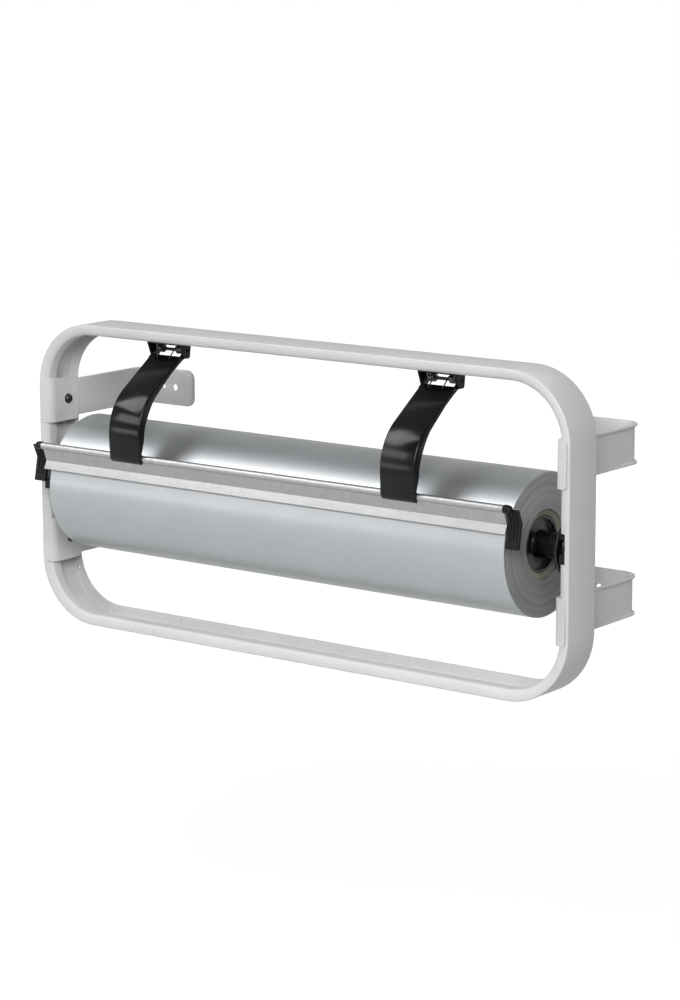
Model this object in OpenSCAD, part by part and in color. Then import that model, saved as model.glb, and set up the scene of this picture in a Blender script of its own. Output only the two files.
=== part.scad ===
// Wall-mounted cutter for a roll of metallised paper.
// Millimetres, +Z up. The origin is the middle of the four large wall holes, on the back of the
// flanges' plates. The ring frame stands out from the wall towards -Y, and +X is the viewer's right.

/* [Frame] */
// Outer height of the ring frame
frame_h = 282; // [270:1:320]
// Depth of the frame's rail, front to back
frame_d = 41.4; // [39:0.1:48]
// Outer radius of the frame's corners
frame_corner_r = 60.5; // [45:0.5:70]
// Sheet thickness of the frame and of the brackets
sheet_t = 2; // [1.6:0.1:2.4]
// How far the crowned front flange reaches inwards
front_flange = 10; // [8:0.1:11]
// How far the front flange's inner edge lies behind its outer edge
front_crown = 4; // [2.5:0.1:5]
// Depth at which the lip behind the front flange ends
lip_end = 12.6; // [10:0.1:14]
// How far the rear flange reaches inwards
rear_flange = 11.5; // [9:0.1:12.5]
// Height of the notch in each upright
notch_h = 26; // [22:0.5:30]
// How far the notch reaches below the roll's axis
notch_below = 8.3; // [7.5:0.1:9]
// Width of front flange that stays beside the notch
notch_web = 4.3; // [3.5:0.1:5]
// Diameter of the drain hole in the left upright's rear flange
drain_d = 3; // [2:0.5:4]
// Angle of the drain hole below the horizontal, round the lower left corner
drain_angle = 20; // [10:1:80]

/* [Brackets] */
// Distance from the wall to the back of the frame
wall_gap = 94.6; // [80:0.2:140]
// Distance of each bracket's middle from the frame's upper or lower edge
bracket_drop = 75; // [71:0.5:82]
// Height of the bracket's strip
strip_h = 34.5; // [28:0.5:38]
// Overall depth of the strip's rims
strip_rim = 4.3; // [3.5:0.1:5]
// Distance from the frame's outer face to the strip's face that looks into the frame
strip_inset = 15; // [14:0.2:17]
// Inner radius of the bend at the wall
strip_bend_r = 15; // [8:0.5:25]
// Length of the wall flange from the strip's inner face
wall_flange_w = 60; // [52:1:78]
// Radius of the wall flange's corners
wall_flange_r = 8; // [4:0.5:12]
// Height of the bracket's head that wraps the front flange
head_h = 41; // [38:0.5:48]
// Radius of the head's front corner
head_corner_r = 6; // [4:0.5:6.5]
// Distance of the large wall holes from the strip's inner face
wall_hole_in = 38.4; // [34:0.2:46]
// Diameter of the large wall holes
wall_hole_d = 6.5; // [5:0.5:8]
// Distance of the small wall holes from the strip's inner face
small_hole_in = 24.4; // [20:0.2:28]
// Diameter of the small wall holes
small_hole_d = 4.5; // [3:0.5:5]
// Depth of the bracket screws behind the frame's front
bracket_screw_y = 23; // [20:0.5:28]
// Thread diameter of the bracket screws
bracket_screw_d = 6; // [4:0.5:7]
// Diameter of the bracket screws' domed heads
bracket_head_d = 9.5; // [8:0.5:12]
// Height of the bracket screws' domed heads
bracket_head_h = 4; // [2.5:0.5:5]

/* [Roll and axle] */
// Diameter of the roll
roll_d = 124.2; // [100:0.2:128]
// Length of the roll, which sets the width of the frame
roll_len = 503; // [450:1:600]
// Space between each end of the roll and the frame's inner edge
roll_margin = 31.5; // [28:0.5:45]
// Depth of the roll's axis behind the frame's front
roll_y = 28.4; // [27:0.1:30]
// Height of the roll's axis below the middle of the frame
roll_drop = 9; // [7:0.1:10]
// Outer diameter of the core tube
core_d = 60; // [56:0.5:66]
// Inner diameter of the core tube
core_bore = 49; // [44:0.5:51]
// Diameter of the axle
axle_d = 12; // [10:0.5:12.5]
// How far the axle drops from its slot into its seat
seat_drop = 6; // [3:0.5:7]
// How far the ends of the core lie inside the roll's end faces
core_recess = 2.6; // [0:0.1:5]
// How far the plugs' faces lie inside the ends of the core
plug_recess = 0.4; // [0.1:0.1:4]
// Length of the plugs inside the core
plug_len = 32; // [20:1:50]
// How much smaller the plug's inner end is across than its face
plug_taper = 4; // [1:0.5:8]
// Diameter of the neck between plug and collar
neck_d = 22; // [18:0.5:28]
// Diameter of the collar's disc
collar_d = 47; // [40:0.5:56]
// Thickness of the collar's disc
collar_t = 3; // [2:0.5:4]
// Distance from the collar's disc to the frame's inner edge
collar_stand = 5.5; // [4:0.5:9]
// Diameter of the collar's hub
hub_d = 30; // [26:0.5:36]
// Diameter of the collar's set screw
set_screw_d = 4; // [3:0.5:5]

/* [Cutter] */
// Distance of each arm's middle from the middle of the frame
arm_x = 150.7; // [120:0.5:200]
// Width of each arm
arm_w = 36; // [33:0.5:40]
// Thickness of the arm's face and cheeks
arm_t = 2; // [1.6:0.1:2.2]
// Slope of the arm below the horizontal, in degrees
arm_slope = 34.5; // [32:0.5:37]
// Distance from the pivot pin to the start of the arm's bend
arm_reach = 56; // [52:0.5:59]
// Outer radius of the arm's bend
arm_bend_r = 48; // [42:0.5:50]
// Distance from the pivot pin to the top edge of the arm's face
face_start = 8.4; // [7.5:0.1:10]
// Height of the bead's middle above the middle of the frame
bead_z = 32.2; // [30:0.2:36]
// Diameter of the bar's bead
bead_d = 6.4; // [5.6:0.1:7]
// Distance of the bar's bead from the roll's surface, which the arms turn down to meet
bar_stand = 13.1; // [12:0.1:15]
// How far the cut bar reaches past each end of the roll
bar_overhang = 3; // [1:0.5:4]
// Wall thickness of the cut bar
bar_t = 1.6; // [1.2:0.1:2]
// Height of the bar's crease above the middle of the frame
crease_z = 18; // [17:0.2:20]
// Height of the tear edge above the middle of the frame
edge_z = 10.6; // [9:0.2:12]
// How far the crease lies behind the bead's middle
crease_back = 4.6; // [3:0.2:5.2]
// How far the tear edge lies in front of the crease
edge_forward = 3.4; // [2:0.2:5]
// Width of each end cap
cap_w = 12.6; // [10:0.2:15]
// Height of the end cap's foot below the middle of the frame
cap_drop = 1.4; // [0:0.2:4]
// Thickness of the end cap's pad
cap_t = 3; // [2.5:0.1:4]

/* [Pivots and springs] */
// Depth of the pivot pins behind the frame's front
pin_y = 22.3; // [21:0.1:24]
// Height of the pivot pins below the top of the frame
pin_drop = 18; // [17.5:0.1:20]
// Diameter of the pivot pins
pin_d = 3; // [2.5:0.1:3.4]
// Thickness of the foot's ears, which stand beside the arm
ear_t = 1.5; // [1.2:0.1:3]
// Radius of the rounded ears at the arm's upper end
ear_r = 4.3; // [3.5:0.1:4.4]
// Diameter of the screw that jacks the foot in the rail
foot_screw_d = 5; // [4:0.5:6]
// Diameter of the torsion springs' wire
wire_d = 1.2; // [1:0.1:1.2]
// Mean diameter of the torsion springs' coils
coil_d = 6; // [5.6:0.1:6.4]
// Distance from one turn of a spring to the next
coil_pitch = 1.7; // [1.65:0.01:1.8]
// Turns that each torsion spring is wound through, before its legs
coil_turns = 4; // [2:1:4]
// Distance of the springs' inner legs from the middle of the arm
leg_x = 7.25; // [5:0.25:7.5]

/* [Fits] */
// Gap between pieces that turn or slide past each other
running_gap = 0.3; // [0.2:0.05:0.5]
// Gap all round between a seated piece and its seat
seat_gap = 0.15; // [0.1:0.05:0.25]
// Radial clearance of a shaft in its bearing
bore_gap = 0.05; // [0.02:0.01:0.08]

/* [Hidden] */

$fn = 96;
grey_paint = [0.76, 0.77, 0.77];
black_plastic = [0.08, 0.08, 0.09];
dark_steel = [0.2, 0.2, 0.21];
bare_steel = [0.6, 0.61, 0.63];
bright_alloy = [0.85, 0.86, 0.87];
silver_paper = [0.66, 0.68, 0.7];
card = [0.45, 0.43, 0.36];

// Depths are counted from the frame's front plane. The rims round the wall flanges reach the wall
front_y = -(frame_d + wall_gap - strip_rim + sheet_t);
frame_w = roll_len + 2 * (roll_margin + front_flange);
half_w = frame_w / 2;
half_h = frame_h / 2;
bracket_level = half_h - bracket_drop;
// How far a cut reaches past what it cuts
over = 1;
lip_x = half_w - front_flange;
roll_z = -roll_drop;
crown_steps = 6;

strip_x = half_w - strip_inset;
wall_face_y = frame_d + wall_gap - strip_rim;
wall_flange_end = strip_x - wall_flange_w;
wall_hole_x = strip_x - wall_hole_in;
small_hole_x = strip_x - small_hole_in;
// The head's lip ends short of the frame's outer edge, and its plate short of the rear flange
head_tip = 2.6;
head_sweep = 75;
head_short = 3;
head_end = frame_d - sheet_t - head_short;
strip_body = strip_inset - sheet_t;
head_hex = 3.4;
// The dog is a block in the channel that the bracket screw pulls against the lip and the strip
dog_h = 20;
dog_end = 35;
dog_wall = 2.6;
dog_front = 5.5;
dog_ramp = 1;
dog_pad = 6;

notch_low = roll_z - notch_below;
slot_gap = 0.3;
slot_h = axle_d + 2 * slot_gap;
slot_low = roll_z - axle_d / 2 + seat_drop;
bearing_front = 3.2;
bearing_nose = 1.2;

disc_x = lip_x - collar_stand - collar_t;
hub_end = half_w - max(front_flange, rear_flange) - running_gap;
core_len = roll_len - 2 * core_recess;
plug_x = core_len / 2 - plug_recess;
axle_short = 0.7;
axle_end = half_w - sheet_t - axle_short;

pin_z = half_h - pin_drop;
pin_at = [pin_y, pin_z];
foot_drop = 3;
foot_under = half_h - front_flange - foot_drop;
foot_w = arm_w + 2 * (running_gap + ear_t);
foot_back = 27;
foot_lap = 1;
foot_toe = 6;
foot_screw_y = 33;
ear_drop = 7;
ear_low = pin_z - ear_drop;
ear_front = 17.5;
ear_back = 25.5;

a0 = 180 + arm_slope;
bend_steps = 10;
// Depths of the arm's cheeks, from the pin down to the lower end
cheek_top = 5.4;
cheek_neck = 4.2;
cheek_mid = 3.8;
cheek_turn = 6.4;
cheek_knee = 9;
cheek_bend = 7.6;
cheek_low = 3.2;
cheek_lead = 1;

bar_len = roll_len + 2 * bar_overhang;
bead_r = bead_d / 2;
port_d = 3;
port_len = 12;
port_spare = 0.5;
rib_r = 1;
roll_r = roll_d / 2;

wire_r = wire_d / 2;
coil_r = coil_d / 2;
wire_sides = 6;
rings_per_turn = 8;
leg_reach = 13;

// Heading and inward normal for an angle, as depth and height
function heading(a) = [cos(a), sin(a)];
function inward(a) = [-sin(a), cos(a)];

// The crowned front flange as inset and depth, moved out by a gap
function crown(t, out) =
    let (n = [front_crown * sin(t), -front_flange * cos(t)])
    [front_flange * sin(t), front_crown * (1 - cos(t))] + out * n / norm(n);

// Points on the arm: along its slope, round its bend and down its drop, at a depth behind its face
function on_slope(dist, depth) = pin_at + dist * heading(a0) + depth * inward(a0);

// The bar stands in front of the roll, and the arm's drop is the tangent from its bend to the bead
bead_at = [roll_y - sqrt(pow(roll_r + bar_stand + bead_r, 2) - pow(bead_z - roll_z, 2)), bead_z];
clip_in = bead_r + bore_gap;
clip_out = clip_in + arm_t;
to_bead = bead_at - on_slope(arm_reach, arm_bend_r);
bead_drop = sqrt(pow(norm(to_bead), 2) - pow(arm_bend_r - clip_out, 2));
a1 = 360 + atan2(to_bead.y, to_bead.x) + atan2(arm_bend_r - clip_out, bead_drop);
bend_angle = a1 - a0;
function on_bend(turn, depth) = on_slope(arm_reach, arm_bend_r) - (arm_bend_r - depth) * inward(a0 + turn);
function on_drop(dist, depth) = on_bend(bend_angle, depth) + dist * heading(a1);
function drop_to(z) = (on_drop(0, 0).y - z) / -heading(a1).y;
function bend(depth, from, to) =
    [for (i = [0 : bend_steps]) on_bend(from + (to - from) * i / bend_steps, depth)];

// The clip goes round the bar's bead, a little way over it and further under it
clip_front = a1 - 90;
hook_angle = 70;
cup_angle = 68;
clip_steps = 6;
crease_at = [bead_at.x + crease_back, crease_z];
edge_at = [crease_at.x - edge_forward, edge_z];

// Placing in the frame's depth, as a mirrored pair, and turning a side view or a plan upright
module at_front() {
    translate([0, front_y, 0]) children();
}

module on_side(side) {
    mirror([side < 0 ? 1 : 0, 0, 0]) children();
}

module side_view(width) {
    rotate([90, 0, 90]) linear_extrude(width, center = true) children();
}

module across(length, r) {
    rotate([0, 90, 0]) cylinder(h = length, r = r);
}

// The rail's section: a channel that opens inwards, with a crowned front flange and a return lip
module rail_section() {
    outer = [for (i = [0 : crown_steps]) crown(90 * i / crown_steps, 0)];
    inner = [for (i = [crown_steps : -1 : 2]) crown(90 * i / crown_steps, -sheet_t)];
    polygon(concat(outer, [
        [front_flange, lip_end],
        [front_flange - sheet_t, lip_end]
    ], inner, [
        [sheet_t, sheet_t],
        [sheet_t, frame_d - sheet_t],
        [rear_flange, frame_d - sheet_t],
        [rear_flange, frame_d],
        [0, frame_d]
    ]));
}

module rail_run(reach, length) {
    rotate([90, 0, 0]) linear_extrude(length, center = true)
        translate([reach, 0]) mirror([1, 0]) rail_section();
}

module rail_corner() {
    translate([half_w - frame_corner_r, half_h - frame_corner_r, 0])
        rotate_extrude(angle = 90)
            translate([frame_corner_r, 0]) mirror([1, 0]) rail_section();
}

// The ring frame is two long rails, bent round at their ends, and two uprights between them
module long_rail(level) {
    color(grey_paint) at_front() difference() {
        rotate([-90, 0, 0]) mirror([0, level > 0 ? 1 : 0, 0]) {
            rotate([0, 0, 90]) rail_run(half_h, frame_w - 2 * frame_corner_r);
            for (side = [-1, 1]) on_side(side) rail_corner();
        }
        translate([frame_corner_r - half_w, frame_d - sheet_t - over, frame_corner_r - half_h])
            rotate([0, -drain_angle, 0]) translate([rear_flange / 2 - frame_corner_r, 0, 0])
                rotate([-90, 0, 0]) cylinder(h = sheet_t + 2 * over, d = drain_d);
    }
}

module upright(side) {
    color(grey_paint) at_front() on_side(side) difference() {
        rotate([-90, 0, 0]) rail_run(half_w, frame_h - 2 * frame_corner_r);
        translate([lip_x - over, -over, notch_low])
            cube([half_w - notch_web - lip_x + over, lip_end + 2 * over, notch_h]);
    }
}

// The bracket's strip: a shallow channel, rims away from the face that looks into the frame
module strip_section() {
    difference() {
        translate([0, -strip_h / 2]) square([strip_rim, strip_h]);
        translate([sheet_t, -strip_h / 2 + sheet_t]) square([strip_rim, strip_h - 2 * sheet_t]);
    }
}

module flange_outline(inset) {
    r = wall_flange_r - inset;
    h = strip_h / 2 - inset;
    reach = strip_x - strip_bend_r;
    translate([wall_flange_end + inset + r, -h]) square([reach - wall_flange_end - inset - r, 2 * h]);
    translate([wall_flange_end + inset, -h + r]) square([r + 0.01, 2 * (h - r)]);
    for (level = [-1, 1]) translate([wall_flange_end + inset + r, level * (h - r)]) circle(r);
}

module wall_flange() {
    translate([0, wall_face_y + strip_rim, 0]) rotate([90, 0, 0]) difference() {
        linear_extrude(strip_rim) flange_outline(0);
        translate([0, 0, -over]) linear_extrude(strip_rim - sheet_t + over) flange_outline(sheet_t);
        for (hole = [[wall_hole_x, wall_hole_d], [small_hole_x, small_hole_d]])
            translate([hole[0], 0, -over]) cylinder(h = strip_rim + 2 * over, d = hole[1]);
    }
}

// The head wraps the front flange and its lip, and carries on as a plate behind it
module head_plan() {
    corner = [strip_inset - head_corner_r, front_crown + lip_end / 5];
    nose = [for (i = [0 : crown_steps]) corner + head_corner_r * heading(-head_sweep * i / crown_steps)];
    last = nose[crown_steps];
    tip_y = last.y - (last.x - head_tip) / tan(head_sweep);
    t0 = asin(head_tip / front_flange);
    seat = [for (i = [0 : crown_steps]) crown(t0 + (90 - t0) * i / crown_steps, seat_gap)];
    polygon(concat([[strip_inset, head_end]], nose, [[head_tip, tip_y]], seat, [
        [front_flange + seat_gap, lip_end + seat_gap],
        [strip_body, lip_end + head_tip / 2],
        [strip_body, head_end]
    ]));
}

module bracket(side, level) {
    color(grey_paint) at_front() on_side(side) translate([0, 0, level * bracket_level]) difference() {
        union() {
            translate([half_w, 0, 0]) linear_extrude(head_h, center = true) mirror([1, 0]) head_plan();
            translate([strip_x, head_end, 0]) rotate([-90, 0, 0])
                linear_extrude(wall_face_y - strip_bend_r - head_end) strip_section();
            translate([strip_x - strip_bend_r, wall_face_y - strip_bend_r, 0])
                rotate_extrude(angle = 90) translate([strip_bend_r, 0]) strip_section();
            wall_flange();
        }
        translate([strip_x - over, bracket_screw_y, 0])
            across(strip_inset, bracket_screw_d / 2 + seat_gap);
    }
}

module bracket_screws() {
    dome_r = (pow(bracket_head_d / 2, 2) + pow(bracket_head_h, 2)) / (2 * bracket_head_h);
    shank = strip_inset - dog_wall - dog_ramp;
    color(black_plastic) at_front() for (side = [-1, 1], level = [-1, 1]) on_side(side)
        translate([strip_x, bracket_screw_y, level * bracket_level]) {
            across(shank, bracket_screw_d / 2);
            difference() {
                intersection() {
                    translate([dome_r - bracket_head_h, 0, 0]) sphere(dome_r);
                    translate([-bracket_head_h, 0, 0]) across(bracket_head_h, bracket_head_d / 2);
                }
                translate([-bracket_head_h - over, 0, 0]) rotate([0, 90, 0])
                    cylinder(h = bracket_head_h / 2 + over, r = head_hex / 2, $fn = 6);
            }
        }
}

module clamp_dogs() {
    toe = front_flange - sheet_t - seat_gap;
    heel = strip_body - seat_gap;
    color(bare_steel) at_front() for (side = [-1, 1], level = [-1, 1]) on_side(side)
        translate([half_w, 0, level * bracket_level]) difference() {
            linear_extrude(dog_h, center = true) mirror([1, 0]) polygon([
                [dog_wall, dog_front],
                [toe, dog_front],
                [toe, lip_end + running_gap],
                [front_flange, lip_end + running_gap],
                [front_flange, dog_end - dog_pad - dog_ramp],
                [heel, dog_end - dog_pad],
                [heel, dog_end],
                [dog_wall, dog_end]
            ]);
            translate([-strip_inset, bracket_screw_y, 0])
                across(strip_inset, bracket_screw_d / 2 + bore_gap / 2);
        }
}

// A block in the upright's channel, with a slot from the notch to the axle's seat
module axle_bearing(side) {
    wall = sheet_t + seat_gap;
    depth = frame_d - sheet_t - seat_gap - bearing_front;
    height = notch_h - 2 * seat_gap;
    low = notch_low + seat_gap;
    color(black_plastic) at_front() on_side(side) difference() {
        union() {
            translate([lip_x, bearing_front, low]) cube([front_flange - wall, depth, height]);
            translate([lip_x, bearing_nose, low])
                cube([front_flange - notch_web - seat_gap, bearing_front - bearing_nose + over, height]);
        }
        translate([lip_x - over, bearing_nose - over, slot_low])
            cube([front_flange + over, roll_y + axle_d / 2 + bore_gap - bearing_nose + over, slot_h]);
        translate([lip_x - over, roll_y - axle_d / 2 - bore_gap, roll_z])
            cube([front_flange + over, axle_d + 2 * bore_gap, slot_low - roll_z + over]);
        translate([lip_x - over, roll_y, roll_z]) across(front_flange + over, axle_d / 2 + bore_gap);
    }
}

module at_roll() {
    at_front() translate([0, roll_y, roll_z]) children();
}

module axle() {
    color(dark_steel) at_roll() translate([-axle_end, 0, 0]) across(2 * axle_end, axle_d / 2);
}

module core_plug(side) {
    face_d = core_bore - 2 * seat_gap;
    color(black_plastic) at_roll() on_side(side) difference() {
        union() {
            translate([plug_x - plug_len, 0, 0]) rotate([0, 90, 0])
                cylinder(h = plug_len, d1 = face_d - plug_taper, d2 = face_d);
            translate([plug_x - over, 0, 0]) across(disc_x - seat_gap - plug_x + over, neck_d / 2);
        }
        translate([plug_x - plug_len - over, 0, 0])
            across(disc_x - plug_x + plug_len + 2 * over, axle_d / 2 + bore_gap);
    }
}

module axle_collar(side) {
    hub_mid = (disc_x + collar_t + hub_end) / 2;
    color(black_plastic) at_roll() on_side(side) difference() {
        union() {
            translate([disc_x, 0, 0]) across(collar_t, collar_d / 2);
            translate([disc_x + over, 0, 0]) across(hub_end - disc_x - over, hub_d / 2);
        }
        translate([disc_x - over, 0, 0]) across(hub_end - disc_x + 2 * over, axle_d / 2 + bore_gap);
        translate([hub_mid, 0, 0]) rotate([90, 0, 0]) cylinder(h = hub_d, d = set_screw_d + 2 * bore_gap);
    }
}

module collar_screws() {
    hub_mid = (disc_x + collar_t + hub_end) / 2;
    length = (hub_d - axle_d - set_screw_d / 2) / 2;
    color(bare_steel) at_roll() for (side = [-1, 1]) on_side(side)
        translate([hub_mid, -axle_d / 2 - bore_gap, 0]) rotate([90, 0, 0]) difference() {
            cylinder(h = length, d = set_screw_d);
            translate([0, 0, length - set_screw_d / 2])
                cylinder(h = set_screw_d, d = set_screw_d / 2, $fn = 6);
        }
}

module tube_across(length, outer_r, inner_r) {
    difference() {
        translate([-length / 2, 0, 0]) across(length, outer_r);
        translate([-length / 2 - over, 0, 0]) across(length + 2 * over, inner_r);
    }
}

module core_tube() {
    color(card) at_roll() tube_across(core_len, core_d / 2, core_bore / 2);
}

module paper_roll() {
    color(silver_paper) at_roll() tube_across(roll_len, roll_r, core_d / 2 + bore_gap);
}

// The foot fills the top rail's mouth, and its ears hold the pivot pin outside the arm
module arm_foot(side) {
    mouth_z = half_h - rear_flange + foot_lap;
    roof = half_h - sheet_t - seat_gap;
    lip_top = half_h - front_flange + sheet_t + seat_gap;
    front = lip_end + seat_gap;
    rear = frame_d - sheet_t - seat_gap;
    color(black_plastic) at_front() translate([side * arm_x, 0, 0]) difference() {
        union() {
            side_view(foot_w) polygon([
                [front, foot_under],
                [foot_back, foot_under],
                [foot_back, mouth_z],
                [rear, mouth_z],
                [rear, roof],
                [foot_toe, roof],
                [foot_toe, lip_top],
                [front, lip_top]
            ]);
            for (ear = [-1, 1]) translate([ear * (foot_w - ear_t) / 2, 0, 0]) side_view(ear_t) polygon([
                [front, foot_under + foot_lap],
                [front, foot_under],
                [ear_front, ear_low],
                [ear_back, ear_low],
                [foot_back, foot_under],
                [foot_back, foot_under + foot_lap]
            ]);
        }
        translate([-foot_w, pin_y, pin_z]) across(2 * foot_w, pin_d / 2 + bore_gap / 2);
        translate([0, foot_screw_y, foot_under]) cylinder(h = half_h, d = foot_screw_d + bore_gap);
    }
}

module foot_screws() {
    length = rear_flange - sheet_t - foot_lap;
    color(bare_steel) at_front() for (side = [-1, 1])
        translate([side * arm_x, foot_screw_y, half_h - sheet_t - length]) difference() {
            cylinder(h = length, d = foot_screw_d);
            translate([0, 0, -over]) cylinder(h = length / 2 + over, d = foot_screw_d / 2, $fn = 6);
        }
}

module pivot_pin(side) {
    color(dark_steel) at_front() translate([side * arm_x - foot_w / 2, pin_y, pin_z]) across(foot_w, pin_d / 2);
}

// A torsion spring is one wire: a leg that rests on the arm's face, the coil round the pin,
// and a leg that rises to the foot. Its middle line is worked out in the side view.
leg_end = on_slope(leg_reach, -wire_r - running_gap) - pin_at;
coil_start = atan2(leg_end.y, leg_end.x) + 360 - acos(coil_r / norm(leg_end));
coil_sweep = coil_start - 180 + 360 * coil_turns;
foot_leg = foot_under - running_gap - pin_z;

function coil_point(swept) =
    let (at = pin_at + coil_r * heading(coil_start - swept))
    [leg_x + coil_pitch * swept / 360, at.x, at.y];
function coil_aim(swept) = coil_start - swept - 90;

function spring_line() =
    let (
        leg = pin_at + leg_end,
        on_leg = leg + wire_d * heading(coil_aim(0)),
        last = coil_point(coil_sweep),
        steps = coil_turns * rings_per_turn
    )
    concat(
        [[[leg_x, leg.x, leg.y], coil_aim(0)], [[leg_x, on_leg.x, on_leg.y], coil_aim(0)]],
        [for (i = [0 : steps]) [coil_point(coil_sweep * i / steps), coil_aim(coil_sweep * i / steps)]],
        [[last + [0, 0, foot_leg - wire_d], 90], [last + [0, 0, foot_leg], 90]]
    );

function wire_ring(at, aim) = [
    for (j = [0 : wire_sides - 1])
        let (a = 360 * j / wire_sides, up = inward(aim))
        at + wire_r * [cos(a), sin(a) * up.x, sin(a) * up.y]
];

// Least distance between turns, measured on close points of the coil
fine_steps = 24;
fine = [for (i = [0 : fine_steps * coil_turns - 1]) coil_point(360 * i / fine_steps)];
least_gap = min([
    for (i = [0 : len(fine) - 1], j = [i + fine_steps / 2 : 1 : len(fine) - 1]) norm(fine[i] - fine[j])
]) - wire_d;
echo("least gap between turns of a spring", least_gap);

module spring_wire() {
    line = spring_line();
    n = len(line);
    points = [for (place = line) each wire_ring(place[0], place[1])];
    sides = [
        for (i = [0 : n - 2], j = [0 : wire_sides - 1])
            let (
                a = i * wire_sides + j,
                b = i * wire_sides + (j + 1) % wire_sides,
                c = b + wire_sides,
                d = a + wire_sides
            )
            each [[a, b, c], [a, c, d]]
    ];
    last = (n - 1) * wire_sides;
    ends = [for (j = [1 : wire_sides - 2]) each [[0, j + 1, j], [last, last + j, last + j + 1]]];
    polyhedron(points, concat(sides, ends), convexity = 10);
}

module torsion_spring(side) {
    color(dark_steel) at_front() translate([side * arm_x, 0, 0])
        for (hand = [-1, 1]) on_side(hand) spring_wire();
}

// The arm is a face with two cheeks, ears on the pivot pin, and a clip round the bar's bead
module arm_face() {
    polygon(concat(
        [on_slope(face_start, 0)],
        bend(0, 0, bend_angle),
        [for (i = [0 : clip_steps]) bead_at + clip_out * heading(clip_front + cup_angle * i / clip_steps)],
        [for (i = [0 : 2 * clip_steps]) bead_at + clip_in
            * heading(clip_front + cup_angle - (cup_angle + hook_angle) * i / (2 * clip_steps))],
        [bead_at + clip_out * heading(clip_front - hook_angle)],
        [on_drop(bead_drop - clip_out, arm_t)],
        bend(arm_t, bend_angle, 0),
        [on_slope(face_start, arm_t)]
    ));
}

module arm_cheek() {
    low = drop_to(bead_z + bead_r + cheek_lead);
    difference() {
        union() {
            polygon(concat(
                [on_slope(cheek_lead, 0)], bend(0, 0, bend_angle),
                [on_drop(low, arm_t / 2), on_drop(low, cheek_low)],
                [on_bend(bend_angle, cheek_bend), on_bend(bend_angle * 3 / 4, (cheek_bend + cheek_knee) / 2)],
                [on_bend(bend_angle / 2, cheek_knee), on_bend(bend_angle / 4, (cheek_turn + cheek_knee) / 2)],
                [on_slope(arm_reach, cheek_turn), on_slope(arm_reach / 2, cheek_mid)],
                [on_slope(face_start, cheek_neck), on_slope(cheek_lead, cheek_top)]
            ));
            translate(pin_at) circle(ear_r);
        }
        translate(pin_at) circle(pin_d / 2 + bore_gap);
    }
}

module arm(side) {
    color(black_plastic) at_front() translate([side * arm_x, 0, 0]) {
        side_view(arm_w) arm_face();
        for (edge = [-1, 1]) translate([edge * (arm_w - arm_t) / 2, 0, 0]) side_view(arm_t) arm_cheek();
    }
}

// The bar: a bead with a pin hole in each end, two webs that meet in a crease, and a foot for the roll
module bar_section() {
    foot_at = roll_y - sqrt(pow(roll_r + running_gap + rib_r, 2) - pow(crease_z - roll_z, 2));
    translate(bead_at) circle(bead_r);
    polygon([
        bead_at - [bar_t / 2, 0],
        crease_at,
        edge_at,
        edge_at + [bar_t / 4, 0],
        edge_at + [bar_t * 1.4, 1.5 * bar_t],
        crease_at + [bar_t, 0],
        bead_at + [bar_t / 2, 0]
    ]);
    translate([crease_at.x + bar_t / 2, crease_z - rib_r])
        square([foot_at - crease_at.x - bar_t / 2, 2 * rib_r]);
    translate([foot_at, crease_z]) circle(rib_r);
}

module cut_bar() {
    color(bright_alloy) at_front() difference() {
        side_view(bar_len) bar_section();
        for (side = [-1, 1]) on_side(side)
            translate([bar_len / 2 - port_len, bead_at.x, bead_at.y])
                across(port_len + over, port_d / 2);
    }
}

module end_cap(side) {
    start = bar_len / 2 + seat_gap;
    boss_r = bead_r + port_spare;
    boss_len = cap_w / 3;
    top = [bead_at.x + cap_t / 5, bead_z];
    waist = crease_at + cap_t / 3 * [1.1, 2];
    foot = [edge_at.x + cap_t / 8, -cap_drop];
    rib_top = top + (waist - top) / 6;
    rib_low = foot + (waist - foot) / 3;
    rib_rise = [cap_t / 5, 0];
    rib_root = [cap_t / 3, 0];
    pad_back = [cap_t, 0];
    color(black_plastic) at_front() on_side(side) {
        translate([start + cap_w / 2, 0, 0]) side_view(cap_w)
            polygon([top, waist, foot, foot + pad_back, waist + pad_back, top + pad_back]);
        for (k = [1 : 3]) translate([start + cap_w * k / 4, 0, 0]) side_view(cap_w / 8)
            polygon([rib_top + rib_root, rib_top - rib_rise, waist - rib_rise,
                rib_low - rib_rise, rib_low + rib_root, waist + rib_root]);
        translate([start, bead_at.x, bead_at.y]) {
            across(boss_len, boss_r);
            translate([boss_len, 0, 0]) sphere(boss_r);
        }
        translate([bar_len / 2 - port_len + port_spare, bead_at.x, bead_at.y])
            across(port_len + 2 * port_spare, port_d / 2 - bore_gap);
    }
}

long_rail(1);  // rail_top
long_rail(-1);  // rail_bottom
upright(-1);  // upright_left
upright(1);  // upright_right
bracket(-1, 1);  // bracket_upper_left
bracket(1, 1);  // bracket_upper_right
bracket(-1, -1);  // bracket_lower_left
bracket(1, -1);  // bracket_lower_right
bracket_screws();
clamp_dogs();
axle_bearing(-1);  // axle_bearing_left
axle_bearing(1);  // axle_bearing_right
axle();
core_plug(-1);  // core_plug_left
core_plug(1);  // core_plug_right
axle_collar(-1);  // axle_collar_left
axle_collar(1);  // axle_collar_right
collar_screws();
core_tube();
paper_roll();
arm_foot(-1);  // arm_foot_left
arm_foot(1);  // arm_foot_right
foot_screws();
pivot_pin(-1);  // pivot_pin_left
pivot_pin(1);  // pivot_pin_right
torsion_spring(-1);  // torsion_spring_left
torsion_spring(1);  // torsion_spring_right
arm(-1);  // arm_left
arm(1);  // arm_right
cut_bar();
end_cap(-1);  // end_cap_left
end_cap(1);  // end_cap_right
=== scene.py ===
import math

import bmesh
import bpy
from mathutils import Matrix, Vector
from mathutils.geometry import tessellate_polygon


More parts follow.
